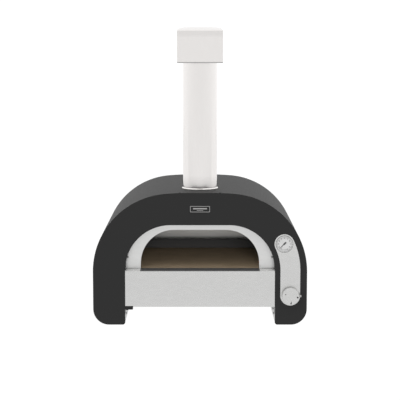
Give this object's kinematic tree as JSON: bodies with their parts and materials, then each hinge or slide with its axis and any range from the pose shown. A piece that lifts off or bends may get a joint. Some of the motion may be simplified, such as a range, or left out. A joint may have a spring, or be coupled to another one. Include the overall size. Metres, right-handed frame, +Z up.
{
  "type": "portable pizza oven",
  "caption": "Arched sheet steel table oven with a stone floor, rear gas burner, round flue with folded cap, and a control strip with thermometer and knob.",
  "frame": {"origin": "on the ground, at the centre of the footprint of the whole oven, knob and gas fitting included", "axes": "+Z up, -Y towards the mouth, +X to the right as seen from the front"},
  "size_m": [0.74, 0.6874, 1.0266],
  "materials": {
    "anthracite_paint": "matte",
    "satin_steel": "satin",
    "flue_steel": "satin",
    "liner_steel": "satin",
    "dark_steel": "matte",
    "refractory": "matte",
    "fibre": "matte",
    "brass": "satin",
    "copper": "satin",
    "white_ceramic": "satin",
    "dial_face": "matte",
    "needle_black": "matte",
    "clear_glass": "polished"
  },
  "bodies": {
    "oven_body": {"badge_plate": "anthracite_paint", "base_plate": "satin_steel", "burner_bracket_left": "liner_steel", "burner_bracket_right": "liner_steel", "burner_guard": "dark_steel", "burner_tube": "liner_steel", "capillary_tube": "copper", "control_plate": "satin_steel", "corner_bracket_left": "dark_steel", "corner_bracket_right": "dark_steel", "corner_screw_left": "dark_steel", "corner_screw_right": "dark_steel", "dome_back": "liner_steel", "dome_blanket": "fibre", "feed_pipe": "copper", "flame_thermocouple": "copper", "floor_insulation_board": "fibre", "floor_tray": "liner_steel", "flue_collar": "liner_steel", "flue_ring": "flue_steel", "front_frame": "anthracite_paint", "gas_injector": "brass", "gas_inlet": "brass", "gas_valve": "brass", "gauge_bezel": "satin_steel", "gauge_case": "dark_steel", "gauge_dial": "dial_face", "gauge_glass": "clear_glass", "hearth_strip": "dark_steel", "igniter_electrode": "white_ceramic", "igniter_lead": "fibre", "inlet_pipe": "copper", "inner_dome": "liner_steel", "left_leg_wall": "satin_steel", "lower_front_panel": "satin_steel", "mouth_plate": "satin_steel", "mouth_screw_left": "dark_steel", "mouth_screw_right": "dark_steel", "outer_shell": "anthracite_paint", "rear_blanket": "fibre", "rear_panel": "anthracite_paint", "rear_screw_1": "dark_steel", "rear_screw_2": "dark_steel", "rear_screw_3": "dark_steel", "rear_screw_4": "dark_steel", "rear_screw_5": "dark_steel", "rear_screw_6": "dark_steel", "refractory_stone": "refractory", "right_leg_wall": "satin_steel", "sensor_bulb": "copper", "thermocouple_lead": "copper", "valve_neck": "brass"},
    "valve_rotor": {"valve_plug": "brass"},
    "knob": {"gas_knob": "satin_steel", "valve_spindle": "brass"},
    "needle": {"gauge_needle": "needle_black"},
    "flue": {"flue_pipe": "flue_steel"},
    "cap": {"flue_cap": "flue_steel", "cap_bracket": "liner_steel"}
  },
  "joints": [
    {"name": "valve_turn", "type": "hinge", "parent": "oven_body", "child": "valve_rotor", "pos_m": [0.312, -0.31635, 0.1045], "axis": [0, -1, 0], "range_deg": [0, 180]},
    {"name": "knob_push", "type": "slide", "parent": "valve_rotor", "child": "knob", "axis": [0, 1, 0], "range_m": [0, 0.004], "stiffness_N_per_m": 1000, "springref_m": -0.003},
    {"name": "needle_sweep", "type": "hinge", "parent": "oven_body", "child": "needle", "pos_m": [0.2908, -0.31635, 0.28291], "axis": [0, 1, 0], "range_deg": [0, 270], "stiffness_Nm_per_rad": 0.001, "springref_deg": -17.19},
    {"name": "flue_lift", "type": "slide", "parent": "oven_body", "child": "flue", "axis": [0, 0, 1], "range_m": [0, 0.065]},
    {"name": "cap_lift", "type": "slide", "parent": "flue", "child": "cap", "axis": [0, 0, 1], "range_m": [0, 0.036]}
  ]
}
